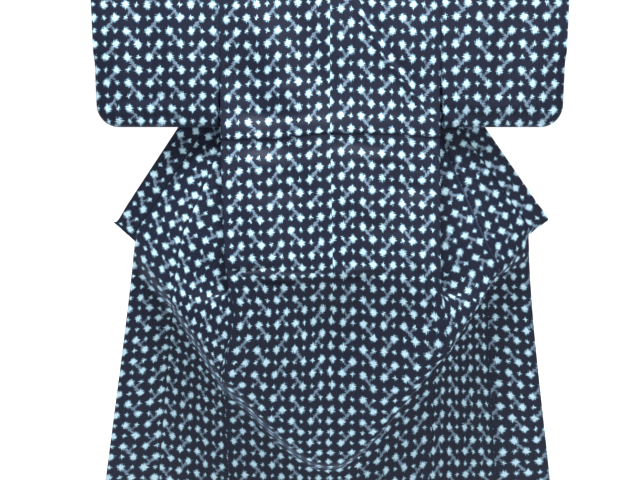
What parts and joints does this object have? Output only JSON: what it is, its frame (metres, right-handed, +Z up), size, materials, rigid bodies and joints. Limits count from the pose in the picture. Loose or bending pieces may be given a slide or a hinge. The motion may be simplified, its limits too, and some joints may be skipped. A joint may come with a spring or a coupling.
{
  "type": "kimono on a hanging rod",
  "caption": "Kimono hung by its sleeves from a straight rod, back outwards, with its fronts drawn out to the sides and the skirt spread.",
  "frame": {"origin": "the middle of the rod's axis, where the rod is held", "axes": "+Z up, +Y towards the wall that the garment hangs in front of, -Y the back of the garment and the viewer, +X the wearer's right"},
  "size_m": [1.4, 0.1632, 1.6487],
  "materials": {
    "cloth": "plain-woven ikat, navy ground with pale blue figures, slight sheen",
    "collar_cloth": "the same ikat cloth, folded double",
    "rod_wood": "smooth pale wood, lightly lacquered"
  },
  "bodies": {
    "root": {"back_left": "cloth", "back_right": "cloth", "front_left": "cloth", "front_right": "cloth", "overlap_left": "cloth", "overlap_right": "cloth", "sleeve_left": "cloth", "sleeve_right": "cloth", "collar": "collar_cloth", "hanging_rod": "rod_wood"}
  },
  "joints": []
}
